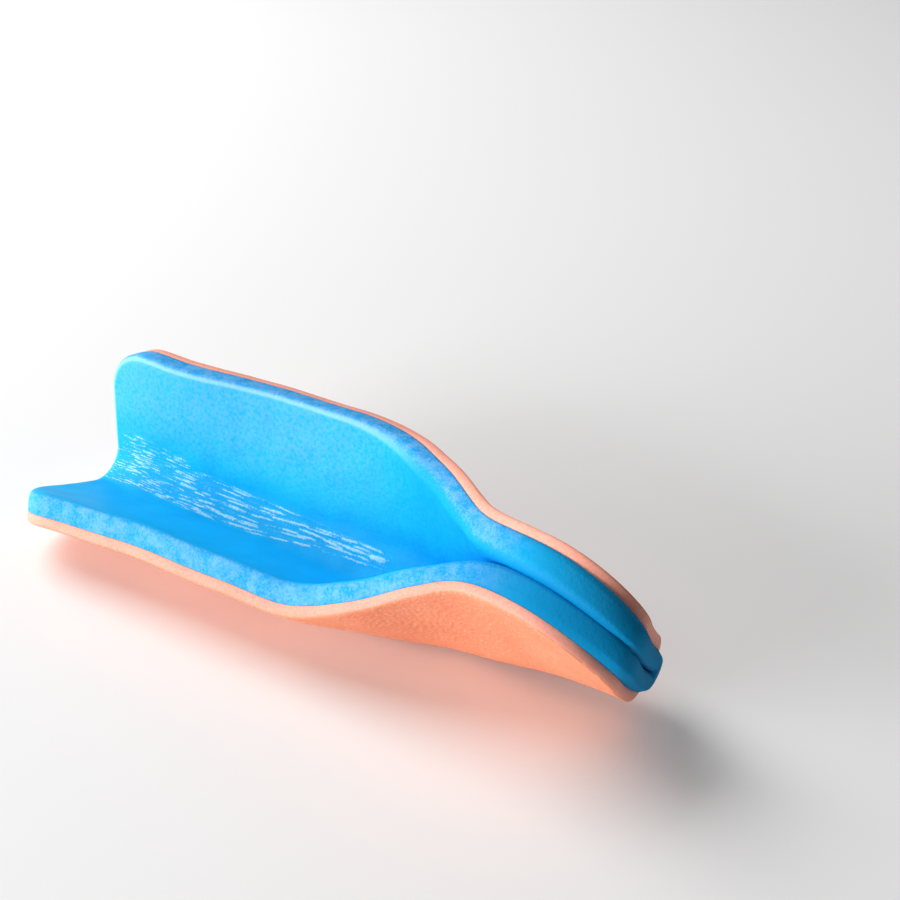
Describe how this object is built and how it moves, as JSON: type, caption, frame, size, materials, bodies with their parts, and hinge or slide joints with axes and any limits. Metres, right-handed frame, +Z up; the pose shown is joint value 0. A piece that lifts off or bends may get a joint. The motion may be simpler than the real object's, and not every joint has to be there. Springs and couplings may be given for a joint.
{
  "type": "finger splint",
  "caption": "Padded finger splint: a flat strip of two bonded foams folded lengthwise into an open trough and pinched shut past the fingertip.",
  "frame": {"origin": "centre of the bottom of the box around the splint, on the surface that it rests on", "axes": "+X along the fold from the open end to the pinched end, +Y towards the flange that stands up, +Z up"},
  "size_m": [0.0988, 0.0328, 0.0257],
  "materials": {
    "pad_foam": "soft blue closed-cell foam, matt with a faint sheen",
    "backing_foam": "orange closed-cell foam with a fine pebbled skin"
  },
  "bodies": {
    "root": {"inner_pad": "pad_foam", "outer_backing": "backing_foam"}
  },
  "joints": []
}
